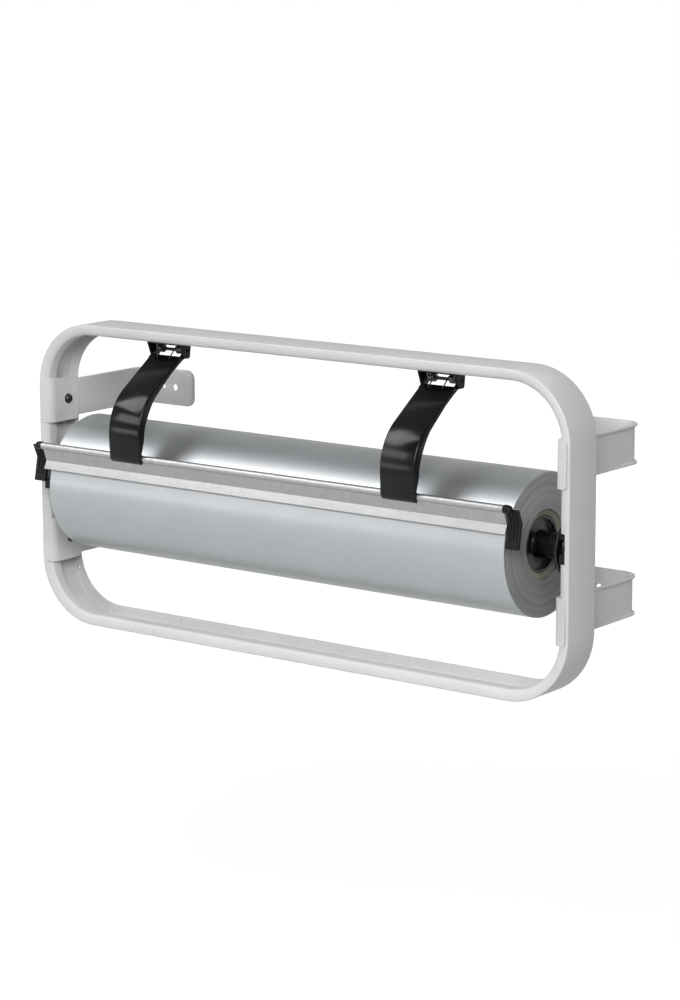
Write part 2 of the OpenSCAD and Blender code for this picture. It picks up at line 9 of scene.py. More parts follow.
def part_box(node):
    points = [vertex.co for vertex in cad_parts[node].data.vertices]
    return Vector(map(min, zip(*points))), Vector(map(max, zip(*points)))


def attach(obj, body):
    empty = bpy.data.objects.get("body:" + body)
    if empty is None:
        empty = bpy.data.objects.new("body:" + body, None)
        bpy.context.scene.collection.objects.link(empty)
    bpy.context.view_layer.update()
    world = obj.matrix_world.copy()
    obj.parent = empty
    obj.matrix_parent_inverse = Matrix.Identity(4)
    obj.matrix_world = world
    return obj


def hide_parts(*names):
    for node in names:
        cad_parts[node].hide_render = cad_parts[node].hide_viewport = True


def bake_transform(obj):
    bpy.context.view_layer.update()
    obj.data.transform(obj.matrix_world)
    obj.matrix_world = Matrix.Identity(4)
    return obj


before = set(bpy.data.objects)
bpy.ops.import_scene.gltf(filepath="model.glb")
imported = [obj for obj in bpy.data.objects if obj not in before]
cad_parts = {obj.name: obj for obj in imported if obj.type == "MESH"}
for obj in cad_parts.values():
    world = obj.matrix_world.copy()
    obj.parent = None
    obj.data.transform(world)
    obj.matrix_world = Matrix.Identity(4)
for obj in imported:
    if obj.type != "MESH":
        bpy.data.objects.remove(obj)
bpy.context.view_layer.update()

# Pieces are drawn in millimetres: x to the right, depth behind the frame's front, z up.
MM = 0.001
FRONT_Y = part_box("rail_top")[0].y
FIT = 0.15
CREASE_ANGLE = 35


def in_world(x, depth, z):
    return Vector((x * MM, FRONT_Y + depth * MM, z * MM))


def node_mm(node):
    """Lowest and highest corner of a CAD node, as x, depth and z in millimetres."""
    return [Vector((p.x / MM, (p.y - FRONT_Y) / MM, p.z / MM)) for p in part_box(node)]


# Frame
RAIL_HIGH = node_mm("rail_top")[1]
HALF_W = RAIL_HIGH.x
HALF_H = RAIL_HIGH.z
FRAME_D = RAIL_HIGH.y
SHEET_T = 2.0
CORNER_R = 60.5
FRONT_FLANGE = 10.0
FRONT_CROWN = 4.0
LIP_END = 12.6
REAR_FLANGE = 11.5
NOTCH = (-17.3, 8.7)
NOTCH_WEB = 4.3
DRAIN_R = 1.5
DRAIN_ANGLE = math.radians(180 + 20)
WELD_X = -157.3

# Brackets
BRACKET_LEVEL = 66.0
STRIP_H = 34.5
STRIP_RIM = 4.3
STRIP_INSET = 15.0
BEND_R = 15.0
FLANGE_W = 60.0
FLANGE_R = 8.0
HEAD_H = 41.0
WALL_HOLES = ((38.4, 6.5), (24.4, 4.5))
SCREW_DEPTH = 23.0
WALL_DEPTH = node_mm("bracket_upper_right")[1].y

# Roll and axle
ROLL_LOW, ROLL_HIGH = node_mm("paper_roll")
ROLL_R = (ROLL_HIGH.z - ROLL_LOW.z) / 2
ROLL_HALF = ROLL_HIGH.x
AXLE_DEPTH = (ROLL_LOW.y + ROLL_HIGH.y) / 2
AXLE_Z = (ROLL_LOW.z + ROLL_HIGH.z) / 2
CORE_R = 30.0
CORE_BORE_R = 24.5
CORE_HALF = node_mm("core_tube")[1].x
PLUG_LEN = 32.0
PLUG_RECESS = 0.4
AXLE_R = 6.0
AXLE_FIT = 0.05

# Cutter
PIN_LOW, PIN_HIGH = node_mm("pivot_pin_right")
PIN = (PIN_LOW + PIN_HIGH) / 2
ARM_X = PIN.x
ARM_HALF = 18.0
ARM_T = 2.0
ARM_REACH = 56.0
ARM_BEND_R = 48.0
FACE_START = 8.4
SLOPE = math.radians(180 + 34.5)
BEAD_R = 3.2
BEAD_Z = 32.2
BAR_STAND = 13.1
CREASE_BACK = 4.6
CREASE_Z = 18.0
EDGE_FORWARD = 3.4
EDGE_Z = 10.6
CLIP_R = BEAD_R + 0.05
CHEEK_TURN = 6.4
SPRING_X = 7.25
COIL_R = 3.0
COIL_PITCH = 1.7
WIRE_R = 0.6
BAR_HALF = node_mm("cut_bar")[1].x
CAP_W = 12.6


# Outlines and meshes

def soften(corners, steps=4):
    """Outline with rounded corners. Each corner is across, along and radius."""
    outline = []
    for i, (u, v, radius) in enumerate(corners):
        here = Vector((u, v))
        if radius <= 0:
            outline.append((u, v))
            continue
        back = (Vector(corners[i - 1][:2]) - here).normalized()
        on = (Vector(corners[(i + 1) % len(corners)][:2]) - here).normalized()
        half = back.angle(on) / 2
        middle = here + (back + on).normalized() * radius / math.sin(half)
        first = here + back * radius / math.tan(half) - middle
        last = here + on * radius / math.tan(half) - middle
        turn = math.atan2(first.x * last.y - first.y * last.x, first.dot(last))
        for k in range(steps + 1):
            spot = middle + Matrix.Rotation(turn * k / steps, 2) @ first
            outline.append((spot.x, spot.y))
    return outline


def arc(middle, radius, start, end, steps):
    """Points on an arc, in degrees."""
    angles = [math.radians(start + (end - start) * k / steps) for k in range(steps + 1)]
    return [(middle[0] + radius * math.cos(a), middle[1] + radius * math.sin(a)) for a in angles]


def skin(rings, ring_of_rings=False, caps=(True, True)):
    """Faces across a row of rings of points, each ring closed."""
    size = len(rings[0])
    faces = []
    last = len(rings) if ring_of_rings else len(rings) - 1
    for i in range(last):
        a, b = i * size, (i + 1) % len(rings) * size
        faces += [(a + j, a + (j + 1) % size, b + (j + 1) % size, b + j) for j in range(size)]
    if caps[0] and not ring_of_rings:
        faces.append(tuple(range(size)))
    if caps[1] and not ring_of_rings:
        faces.append(tuple(range((len(rings) - 1) * size, len(rings) * size)))
    return [p for ring in rings for p in ring], faces


def slab(outline, low, high, lay, holes=(), rim=True):
    """A plate between two levels. lay puts a point of the outline at a level in space."""
    loops = [outline, *holes]
    flat = [[Vector((u, v, 0)) for u, v in loop] for loop in loops]
    points = [p for loop in loops for p in loop]
    count = len(points)
    faces = []
    for a, b, c in tessellate_polygon(flat):
        faces += [(a, b, c), (a + count, b + count, c + count)]
    start = 0
    for loop in loops:
        for j in range(len(loop)):
            a, b = start + j, start + (j + 1) % len(loop)
            if rim or loop is not outline:
                faces.append((a, b, b + count, a + count))
        start += len(loop)
    return [lay(u, v, level) for level in (low, high) for u, v in points], faces


def round_axle(profile, a):
    """Points of x and radius, set at an angle about the roll's axis."""
    return [Vector((x, AXLE_DEPTH + r * math.cos(a), AXLE_Z + r * math.sin(a))) for x, r in profile]


def turned(profile, sides):
    """A solid turned about the roll's axis, from points of x and radius."""
    rings = []
    for k in range(sides):
        a = 2 * math.pi * k / sides
        rings.append(round_axle(profile, a))
    return skin(rings, ring_of_rings=True)


def tube(path, radius, sides=12):
    """A round wire along a path of points, with flat ends."""
    rings = []
    side = None
    for i, spot in enumerate(path):
        along = (path[min(i + 1, len(path) - 1)] - path[max(i - 1, 0)]).normalized()
        if side is None:
            side = along.orthogonal().normalized()
        side = (side - along * side.dot(along)).normalized()
        other = along.cross(side)
        turns = [2 * math.pi * k / sides for k in range(sides)]
        rings.append([spot + radius * (math.cos(a) * side + math.sin(a) * other) for a in turns])
    return skin(rings)


def mirrored(part):
    points, faces = part
    return [Vector((-p.x, p.y, p.z)) for p in points], faces


def kept(part):
    return part


def shifted(part, x=0, z=0):
    points, faces = part
    return [p + Vector((x, 0, z)) for p in points], faces


SIDES = (("left", -1, mirrored), ("right", 1, kept))


def through_depth(u, v, level):
    """Lays a slab whose outline is in x and z."""
    return Vector((u, level, v))


def along_x(u, v, level):
    """Lays a slab whose outline is in depth and z."""
    return Vector((level, u, v))


def link(thing):
    bpy.context.scene.collection.objects.link(thing)
    return thing


def closed_mesh(name, parts, weld=False):
    """One mesh of parts in millimetres, with its faces turned outwards."""
    mesh = bpy.data.meshes.new(name)
    points, faces = [], []
    for part_points, part_faces in parts:
        faces += [tuple(i + len(points) for i in face) for face in part_faces]
        points += [in_world(*p) for p in part_points]
    mesh.from_pydata(points, [], faces)
    work = bmesh.new()
    work.from_mesh(mesh)
    if weld:
        bmesh.ops.remove_doubles(work, verts=work.verts, dist=0.001 * MM)
    bmesh.ops.recalc_face_normals(work, faces=work.faces)
    work.to_mesh(mesh)
    work.free()
    return mesh


def make_piece(name, body, finish, parts, nodes=(), edge=0.0, weld=False):
    """Joins parts into one piece of the object, with softened edges, and sets it on its body."""
    mesh = closed_mesh(name, parts, weld)
    mesh.materials.append(finish)
    mesh.shade_smooth()
    mesh.set_sharp_from_angle(angle=math.radians(CREASE_ANGLE))
    piece = link(bpy.data.objects.new(name, mesh))
    if edge:
        soft = piece.modifiers.new("softened_edges", "BEVEL")
        soft.width = edge * MM
        soft.segments = 3
        soft.limit_method = "ANGLE"
        soft.angle_limit = math.radians(40)
        soft.harden_normals = True
    if body:
        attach(piece, body)
    if nodes:
        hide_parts(*nodes)
    return piece


def carve(piece, parts):
    """Cuts parts out of a piece's mesh."""
    for part in parts:
        cutter = link(bpy.data.objects.new("cut", closed_mesh("cut", [part])))
        cut = piece.modifiers.new("cut", "BOOLEAN")
        cut.operation = "DIFFERENCE"
        cut.solver = "EXACT"
        cut.object = cutter
        bpy.context.view_layer.update()
        depsgraph = bpy.context.evaluated_depsgraph_get()
        shaped = bpy.data.meshes.new_from_object(piece.evaluated_get(depsgraph))
        piece.modifiers.remove(cut)
        piece.data = shaped
        bpy.data.objects.remove(cutter)
    piece.data.set_sharp_from_angle(angle=math.radians(CREASE_ANGLE))


# Effects that several finishes share

COLOUR, VALUE = "NodeSocketColor", "NodeSocketFloat"


def effect(name, inputs, outputs):
    """An empty node group with its sockets, its object coordinates and its two ends."""
    tree = bpy.data.node_groups.new(name, "ShaderNodeTree")
    for label, kind, value in inputs:
        tree.interface.new_socket(label, in_out="INPUT", socket_type=kind).default_value = value
    for label, kind in outputs:
        tree.interface.new_socket(label, in_out="OUTPUT", socket_type=kind)
    place = add(tree, "ShaderNodeTexCoord").outputs["Object"]
    return tree, place, add(tree, "NodeGroupInput").outputs, add(tree, "NodeGroupOutput").inputs


def add(tree, kind, inputs=(), **settings):
    """A node with its settings. Its inputs take values or the outputs of other nodes."""
    node = tree.nodes.new(kind)
    for label, value in settings.items():
        setattr(node, label, value)
    for label, value in dict(inputs).items():
        if isinstance(value, bpy.types.NodeSocket):
            tree.links.new(value, node.inputs[label])
        else:
            node.inputs[label].default_value = value
    return node


def maths(tree, operation, first, second=0.0):
    return add(tree, "ShaderNodeMath", {0: first, 1: second}, operation=operation).outputs[0]


def between(tree, value, low, high, out_low=0.0, out_high=1.0):
    inputs = {"Value": value, "From Min": low, "From Max": high, "To Min": out_low, "To Max": out_high}
    return add(tree, "ShaderNodeMapRange", inputs, interpolation_type="SMOOTHSTEP").outputs[0]


def mixed(tree, share, first, second):
    """A colour between two. For colours, the node uses its inputs 6 and 7 and its output 2."""
    return add(tree, "ShaderNodeMix", {0: share, 6: first, 7: second}, data_type="RGBA").outputs[2]


def noise_at(tree, place, scale, detail):
    inputs = {"Vector": place, "Scale": scale, "Detail": detail}
    return add(tree, "ShaderNodeTexNoise", inputs).outputs[0]


def noise_along(tree, way, scale, detail):
    """Noise of one dimension."""
    inputs = {"W": way, "Scale": scale, "Detail": detail}
    return add(tree, "ShaderNodeTexNoise", inputs, noise_dimensions="1D").outputs[0]


def stretched(tree, place, x, y, z):
    return add(tree, "ShaderNodeVectorMath", {0: place, 1: (x, y, z)}, operation="MULTIPLY").outputs[0]


def clouds_effect():
    """Two tones that drift over a surface, and a value that drifts with them."""
    tree, place, given, out = effect(
        "clouds",
        [("Light", COLOUR, (1, 1, 1, 1)), ("Dark", COLOUR, (0, 0, 0, 1)), ("Size", VALUE, 20.0),
         ("Low", VALUE, 0.3), ("High", VALUE, 0.4)],
        [("Colour", COLOUR), ("Value", VALUE)])
    noise = noise_at(tree, place, given["Size"], 4.0)
    share = between(tree, noise, 0.35, 0.65)
    tree.links.new(mixed(tree, share, given["Dark"], given["Light"]), out["Colour"])
    tree.links.new(between(tree, noise, 0.35, 0.65, given["Low"], given["High"]), out["Value"])
    return tree


def grain_effect():
    """Fine bumps of one size, as height."""
    tree, place, given, out = effect(
        "grain", [("Size", VALUE, 1200.0), ("Depth", VALUE, 1.0)], [("Height", VALUE)])
    noise = noise_at(tree, place, given["Size"], 2.0)
    tree.links.new(maths(tree, "MULTIPLY", noise, given["Depth"]), out["Height"])
    return tree


def worn_edges_effect():
    """A colour that gives way to the worn one along raised edges."""
    tree, place, given, out = effect(
        "worn_edges",
        [("Colour", COLOUR, (1, 1, 1, 1)), ("Worn", COLOUR, (1, 1, 1, 1)), ("Amount", VALUE, 0.5)],
        [("Colour", COLOUR)])
    raised = between(tree, add(tree, "ShaderNodeNewGeometry").outputs["Pointiness"], 0.53, 0.62)
    noise = noise_at(tree, place, 160.0, 5.0)
    mask = maths(tree, "MULTIPLY", raised, maths(tree, "MULTIPLY", noise, given["Amount"]))
    tree.links.new(mixed(tree, mask, given["Colour"], given["Worn"]), out["Colour"])
    return tree


def drawn_lines_effect():
    """Long fine lines that run along x, as a value and a height."""
    tree, place, given, out = effect(
        "drawn_lines", [("Size", VALUE, 900.0), ("Low", VALUE, 0.25), ("High", VALUE, 0.35)],
        [("Value", VALUE), ("Height", VALUE)])
    long_way = stretched(tree, place, 0.012, 1.0, 1.0)
    noise = noise_at(tree, long_way, given["Size"], 3.0)
    tree.links.new(between(tree, noise, 0.3, 0.7, given["Low"], given["High"]), out["Value"])
    tree.links.new(noise, out["Height"])
    return tree


def wound_layers_effect():
    """Thin rings round the roll's axis, where the edges of the wound layers lie."""
    tree, place, given, out = effect(
        "wound_layers",
        [("Layers", VALUE, 900.0), ("Light", COLOUR, (1, 1, 1, 1)), ("Dark", COLOUR, (0, 0, 0, 1))],
        [("Colour", COLOUR), ("Height", VALUE)])
    axis = (0.0, FRONT_Y + AXLE_DEPTH * MM, AXLE_Z * MM)
    around = add(tree, "ShaderNodeVectorMath", {0: place, 1: axis}, operation="SUBTRACT").outputs[0]
    across = stretched(tree, around, 0.0, 1.0, 1.0)
    radius = add(tree, "ShaderNodeVectorMath", {0: across}, operation="LENGTH").outputs["Value"]
    wander = noise_at(tree, around, 25.0, 2.0)
    turn = maths(tree, "ADD", radius, maths(tree, "MULTIPLY", wander, 0.0006))
    fine = noise_along(tree, turn, given["Layers"], 3.0)
    broad = noise_along(tree, turn, 160.0, 2.0)
    rings = maths(tree, "ADD", maths(tree, "MULTIPLY", fine, 0.65), maths(tree, "MULTIPLY", broad, 0.35))
    share = between(tree, rings, 0.36, 0.64)
    tree.links.new(mixed(tree, share, given["Dark"], given["Light"]), out["Colour"])
    tree.links.new(rings, out["Height"])
    return tree


def weld_line_effect():
    """A mask along the line where the bent rail is welded shut, on the lower rail."""
    tree, place, given, out = effect(
        "weld_line", [("Across", VALUE, 0.0), ("Width", VALUE, 0.0006)], [("Mask", VALUE)])
    parts = add(tree, "ShaderNodeSeparateXYZ", {"Vector": place}).outputs
    away = maths(tree, "ABSOLUTE", maths(tree, "SUBTRACT", parts["X"], given["Across"]))
    line = between(tree, maths(tree, "DIVIDE", away, given["Width"]), 1.0, 0.2)
    low = between(tree, parts["Z"], -0.11, -0.12)
    tree.links.new(maths(tree, "MULTIPLY", line, low), out["Mask"])
    return tree


CLOUDS = clouds_effect()
GRAIN = grain_effect()
WORN_EDGES = worn_edges_effect()
DRAWN_LINES = drawn_lines_effect()
WOUND_LAYERS = wound_layers_effect()
WELD_LINE = weld_line_effect()


# Finishes

def use(tree, group, **inputs):
    """Places an effect in a finish."""
    return add(tree, "ShaderNodeGroup", inputs, node_tree=group).outputs


def bare_finish(name, metallic=0.0, specular=0.5):
    """A material whose shader has its constant values, ready for colour, roughness and bumps."""
    material = bpy.data.materials.new(name)
    material.use_nodes = True
    tree = material.node_tree
    shader = tree.nodes["Principled BSDF"]
    shader.inputs["Metallic"].default_value = metallic
    shader.inputs["Specular IOR Level"].default_value = specular
    return material, tree, shader


def set_finish(tree, shader, colour, roughness, height, depth, strength=1.0):
    tree.links.new(colour, shader.inputs["Base Color"])
    tree.links.new(roughness, shader.inputs["Roughness"])
    bump = add(tree, "ShaderNodeBump", {"Height": height, "Distance": depth, "Strength": strength})
    tree.links.new(bump.outputs["Normal"], shader.inputs["Normal"])


def grey_coat(name, weld=False):
    """Light grey powder coat with a slight orange peel."""
    material, tree, shader = bare_finish(name, specular=0.45)
    tone = use(tree, CLOUDS, Light=(0.67, 0.685, 0.665, 1), Dark=(0.64, 0.655, 0.635, 1),
               Size=14.0, Low=0.34, High=0.44)
    coat = use(tree, WORN_EDGES, Colour=tone["Colour"], Worn=(0.80, 0.80, 0.79, 1), Amount=0.9)["Colour"]
    height = use(tree, GRAIN, Size=900.0, Depth=1.0)["Height"]
    if weld:
        seam = use(tree, WELD_LINE, Across=WELD_X * MM, Width=0.0007)["Mask"]
        coat = mixed(tree, maths(tree, "MULTIPLY", seam, 0.35), coat, (0.38, 0.38, 0.36, 1))
        height = maths(tree, "SUBTRACT", height, maths(tree, "MULTIPLY", seam, 2.0))
    set_finish(tree, shader, coat, tone["Value"], height, 0.00004, 0.5)
    return material


def moulded_black(name, tone, roughness, specular, grain, depth):
    """Black moulded plastic, from a glossy to a finely grained skin."""
    material, tree, shader = bare_finish(name, specular=specular)
    dark = tuple(c * 0.75 for c in tone) + (1,)
    worn = tuple(c * 3 for c in tone) + (1,)
    mist = use(tree, CLOUDS, Light=tone + (1,), Dark=dark,
               Size=30.0, Low=roughness - 0.04, High=roughness + 0.05)
    colour = use(tree, WORN_EDGES, Colour=mist["Colour"], Worn=worn, Amount=0.7)["Colour"]
    height = use(tree, GRAIN, Size=grain, Depth=1.0)["Height"]
    set_finish(tree, shader, colour, mist["Value"], height, depth, 0.5)
    return material


def drawn_metal(name, light, dark, low, high, size, depth, worn=1.0, metallic=1.0):
    """Bare metal with lines along x from drawing or rolling."""
    material, tree, shader = bare_finish(name, metallic=metallic)
    mist = use(tree, CLOUDS, Light=light + (1,), Dark=dark + (1,), Size=22.0)
    colour = use(tree, WORN_EDGES, Colour=mist["Colour"], Worn=(0.9, 0.9, 0.9, 1), Amount=worn)["Colour"]
    lines = use(tree, DRAWN_LINES, Size=size, Low=low, High=high)
    set_finish(tree, shader, colour, lines["Value"], lines["Height"], depth, 0.4)
    return material


def wound_edges(name, light, dark, layers, roughness, metallic):
    """The edges of wound layers, seen as fine rings."""
    material, tree, shader = bare_finish(name, metallic=metallic, specular=0.4)
    rings = use(tree, WOUND_LAYERS, Layers=layers, Light=light + (1,), Dark=dark + (1,))
    matt = use(tree, CLOUDS, Size=60.0, Low=roughness - 0.05, High=roughness + 0.08)["Value"]
    set_finish(tree, shader, rings["Colour"], matt, rings["Height"], 0.0001, 0.5)
    return material


FRAME_COAT = grey_coat("grey_coat_frame", weld=True)
BRACKET_COAT = grey_coat("grey_coat_brackets")
ARM_BLACK = moulded_black("gloss_black_arms", (0.003, 0.0035, 0.0045), 0.17, 0.27, 300.0, 0.00002)
PART_BLACK = moulded_black("grained_black_parts", (0.006, 0.006, 0.0065), 0.34, 0.2, 2600.0, 0.00004)
CAP_BLACK = moulded_black("grained_black_caps", (0.005, 0.005, 0.0055), 0.3, 0.2, 2200.0, 0.00003)
PLUG_BLACK = moulded_black("satin_black_plugs", (0.004, 0.0045, 0.006), 0.24, 0.55, 1500.0, 0.00002)
ENAMEL_BLACK = moulded_black("black_enamel", (0.012, 0.012, 0.013), 0.3, 0.3, 700.0, 0.00002)
SCREW_BLACK = moulded_black("blackened_screws", (0.016, 0.016, 0.018), 0.3, 0.5, 3000.0, 0.00002)
ZINC = drawn_metal("zinc_plate", (0.56, 0.57, 0.60), (0.46, 0.47, 0.49), 0.32, 0.45, 1500.0, 0.00002)
SPRING_STEEL = drawn_metal("spring_steel", (0.13, 0.13, 0.14), (0.09, 0.09, 0.10),
                           0.28, 0.4, 2500.0, 0.00001, worn=0.3)
BAR_ALLOY = drawn_metal("bright_bar", (0.355, 0.355, 0.35), (0.34, 0.34, 0.335),
                        0.38, 0.41, 1400.0, 0.000006, worn=0.25)
ROLL_SILVER = drawn_metal("silver_wrap", (0.46, 0.48, 0.495), (0.445, 0.465, 0.48),
                          0.35, 0.39, 160.0, 0.00002, worn=0.2, metallic=0.75)
ROLL_EDGES = wound_edges("wrap_edges", (0.40, 0.41, 0.405), (0.24, 0.245, 0.245), 2400.0, 0.45, 0.35)
CARD = wound_edges("wound_card", (0.36, 0.35, 0.29), (0.22, 0.21, 0.17), 700.0, 0.7, 0.0)


# Frame: a channel that opens inwards, bent to a ring

def crown(turn, out=0.0):
    """The crowned front flange as inset and depth, moved out by a gap. turn runs from 0 to 90 degrees."""
    t = math.radians(turn)
    push = Vector((FRONT_CROWN * math.sin(t), -FRONT_FLANGE * math.cos(t))).normalized() * out
    return FRONT_FLANGE * math.sin(t) + push.x, FRONT_CROWN * (1 - math.cos(t)) + push.y


def rail_outline():
    front = [(*crown(turn), 0) for turn in range(18, 91, 8)]
    inner = [(*crown(turn, -SHEET_T), 0) for turn in (90, 66, 58, 50, 42, 34)]
    return soften([
        (0, FRAME_D, 1.0), (0, 0, 0.9), *front,
        (FRONT_FLANGE, LIP_END, 0.5), (FRONT_FLANGE - SHEET_T, LIP_END, 0.5), *inner,
        (SHEET_T, SHEET_T, 0.4), (SHEET_T, FRAME_D - SHEET_T, 0.8),
        (REAR_FLANGE, FRAME_D - SHEET_T, 0.5), (REAR_FLANGE, FRAME_D, 0.5)])


def frame_ring(steps=22):
    outline = rail_outline()
    rings = []
    for quarter, (side, level) in enumerate(((1, 1), (-1, 1), (-1, -1), (1, -1))):
        x, z = side * (HALF_W - CORNER_R), level * (HALF_H - CORNER_R)
        for k in range(steps + 1):
            a = math.radians(90 * (quarter + k / steps))
            rings.append([
                Vector((x + (CORNER_R - inset) * math.cos(a), depth, z + (CORNER_R - inset) * math.sin(a)))
                for inset, depth in outline])
    return skin(rings, ring_of_rings=True)


def notch_cut(side):
    reach = side * (HALF_W - NOTCH_WEB)
    start = side * (HALF_W - FRONT_FLANGE - 3)
    low, high = NOTCH
    outline = soften([(start, low, 0), (reach, low, 1.2), (reach, high, 1.2), (start, high, 0)])
    return slab(outline, -2, LIP_END + 2, through_depth)


def drain_cut():
    """The hole in the rear flange, at the lower left corner."""
    r = CORNER_R - REAR_FLANGE / 2
    middle = (CORNER_R - HALF_W + r * math.cos(DRAIN_ANGLE), CORNER_R - HALF_H + r * math.sin(DRAIN_ANGLE))
    return slab(arc(middle, DRAIN_R, 0, 345, 23), FRAME_D - 4, FRAME_D + 2, through_depth)


ring_frame = make_piece("ring_frame", None, FRAME_COAT, [frame_ring()])
carve(ring_frame, [notch_cut(-1), notch_cut(1), drain_cut()])
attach(ring_frame, "frame")
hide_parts("rail_top", "rail_bottom", "upright_left", "upright_right")


# Brackets: a head that wraps the front flange, and a rimmed strip that turns on to the wall

STRIP_X = HALF_W - STRIP_INSET
HEAD_END = FRAME_D - SHEET_T - 3
FLANGE_DEPTH = WALL_DEPTH - STRIP_RIM
FLANGE_END = STRIP_X - FLANGE_W
FLAT = FLANGE_R - 0.2


def strip_half():
    """Half of the strip's section, as inset from its edge and distance behind its face."""
    return soften([
        (FLAT, 0, 0), (0, 0, 1.2), (0, STRIP_RIM, 0.5), (SHEET_T, STRIP_RIM, 0.5),
        (SHEET_T, SHEET_T, 0.8), (FLAT, SHEET_T, 0)])


def bracket_strip():
    half = strip_half()
    rings = []
    middle_x, middle_depth = STRIP_X - BEND_R, FLANGE_DEPTH - BEND_R
    inside = STRIP_X + 0.04
    places = [(inside, HEAD_END - 4, 0), (inside, HEAD_END, 0), (STRIP_X, HEAD_END + 0.6, 0)]
    places += [(STRIP_X, middle_depth * share + HEAD_END * (1 - share), 0) for share in (0.35, 0.7)]
    bend = arc((middle_x, middle_depth), BEND_R, 0, 90, 15)
    places += [(x, depth, 6 * k) for k, (x, depth) in enumerate(bend)]
    for x, depth, turn in places:
        out = math.cos(math.radians(turn)), math.sin(math.radians(turn))
        upper = [Vector((x + t * out[0], depth + t * out[1], STRIP_H / 2 - e)) for e, t in half]
        lower = [Vector((p.x, p.y, -p.z)) for p in reversed(upper)]
        rings.append(upper + lower)
    run = skin(rings, caps=(True, False))
    rows = []
    for level in (1, -1):
        corner = FLANGE_END + FLANGE_R, level * (STRIP_H / 2 - FLANGE_R)
        turns = range(90, 181, 10) if level > 0 else range(180, 271, 10)
        row = [
            [Vector((corner[0] + (FLANGE_R - e) * math.cos(math.radians(a)), FLANGE_DEPTH + t,
                     corner[1] + (FLANGE_R - e) * math.sin(math.radians(a)))) for e, t in half]
            for a in turns]
        end = [Vector((middle_x, FLANGE_DEPTH + t, level * (STRIP_H / 2 - e))) for e, t in half]
        rows += [end] + row if level > 0 else row + [end]
    size = len(half)
    faces = [
        (i * size + j, i * size + j + 1, (i + 1) * size + j + 1, (i + 1) * size + j)
        for i in range(len(rows) - 1) for j in range(size - 1)]
    rim = [p for row in rows for p in row], faces
    holes = [arc((STRIP_X - away, 0), d / 2, 0, 348.75, 31) for away, d in WALL_HOLES]
    plate = slab([(row[0].x, row[0].z) for row in rows], FLANGE_DEPTH, FLANGE_DEPTH + SHEET_T,
                 through_depth, holes, rim=False)
    return [run, rim, plate]


def head_plan(tip):
    nose = arc((STRIP_INSET - 6, FRONT_CROWN + LIP_END / 5), 6, 0, -75, 8)
    last = nose[-1]
    tip_depth = last[1] - (last[0] - tip) / math.tan(math.radians(75))
    start = math.degrees(math.asin(tip / FRONT_FLANGE))
    seat = [crown(start + (90 - start) * k / 8, FIT) for k in range(9)]
    return [(STRIP_INSET, HEAD_END), *nose, (tip, tip_depth), *seat,
            (FRONT_FLANGE + FIT, LIP_END + FIT), (STRIP_INSET - SHEET_T, LIP_END + 1.3),
            (STRIP_INSET - SHEET_T, HEAD_END)]


def bracket_head():
    rings = []
    rise = [0, 0.25, 0.8, 1.7, 2.8, 4]
    for away, sign in [(d, -1) for d in rise] + [(d, 1) for d in reversed(rise)]:
        tip = 2.6 + 4 - math.sqrt(16 - (4 - away) ** 2)
        level = sign * (HEAD_H / 2 - away)
        rings.append([Vector((HALF_W - inset, depth, level)) for inset, depth in head_plan(tip)])
    return skin(rings)


def bracket_screw():
    """A domed head with a hexagonal recess."""
    radius, height = 4.75, 4.0
    ball = (radius ** 2 + height ** 2) / (2 * height)
    angles = [2 * math.pi * k / 48 for k in range(48)]
    hexagon = [1.7 * math.cos(math.pi / 6) / math.cos(a % (math.pi / 3) - math.pi / 6) for a in angles]
    profile = [([radius] * 48, 0.0)]
    profile += [([radius * math.cos(t)] * 48, None) for t in (0.15, 0.35, 0.6, 0.85, 1.05)]
    rings = []
    for radii, level in profile + [(hexagon, None), (hexagon, 1.6)]:
        ring = []
        for a, r in zip(angles, radii):
            out = math.sqrt(ball ** 2 - r ** 2) - (ball - height) if level is None else level
            ring.append(Vector((STRIP_X - out, SCREW_DEPTH + r * math.cos(a), r * math.sin(a))))
        rings.append(ring)
    return skin(rings)


for level_name, level in (("upper", 1), ("lower", -1)):
    for side_name, _, turn_over in SIDES:
        place = f"{level_name}_{side_name}"
        lift = level * BRACKET_LEVEL
        make_piece(f"bracket_strip_{place}", "frame", BRACKET_COAT,
                   [shifted(turn_over(part), z=lift) for part in bracket_strip()],
                   [f"bracket_{place}"], weld=True)
        make_piece(f"bracket_head_{place}", "frame", BRACKET_COAT,
                   [shifted(turn_over(bracket_head()), z=lift)], edge=0.7)
        make_piece(f"bracket_screw_{place}", "frame", SCREW_BLACK,
                   [shifted(turn_over(bracket_screw()), z=lift)], ["bracket_screws"], edge=0.2)


# Roll: wound layers on a card core, with a plug, a neck and a collar at each end

def roll_layers():
    """The wound body, whose layers end a little unevenly."""
    edge = []
    r = CORE_R + 0.1
    k = 0
    while r < ROLL_R - 1.0:
        reach = ROLL_HALF - 0.16 - 0.14 * math.sin(2.4 * k) - 0.05 * math.sin(7.1 * k)
        step = 0.9 + 0.5 * math.sin(1.7 * k) ** 2
        edge += [(reach, r), (reach, min(r + step, ROLL_R - 0.9) - 0.05)]
        r += step
        k += 1
    return turned(edge + [(-x, r) for x, r in reversed(edge)], 128)


def roll_wrap(sides=192):
    """The outermost sheet, from its tucked start to its free edge low at the back."""
    rings = []
    free = math.radians(-38)
    for k in range(sides + 1):
        share = k / sides
        a = free + 2 * math.pi * share
        outer = ROLL_R - 0.22 * (1 - share)
        inner = ROLL_R - 1.1
        profile = [(-ROLL_HALF + 0.1, inner), (-ROLL_HALF, outer - 0.35), (-ROLL_HALF + 0.35, outer),
                   (ROLL_HALF - 0.35, outer), (ROLL_HALF, outer - 0.35), (ROLL_HALF - 0.1, inner)]
        rings.append(round_axle(profile, a))
    return skin(rings)


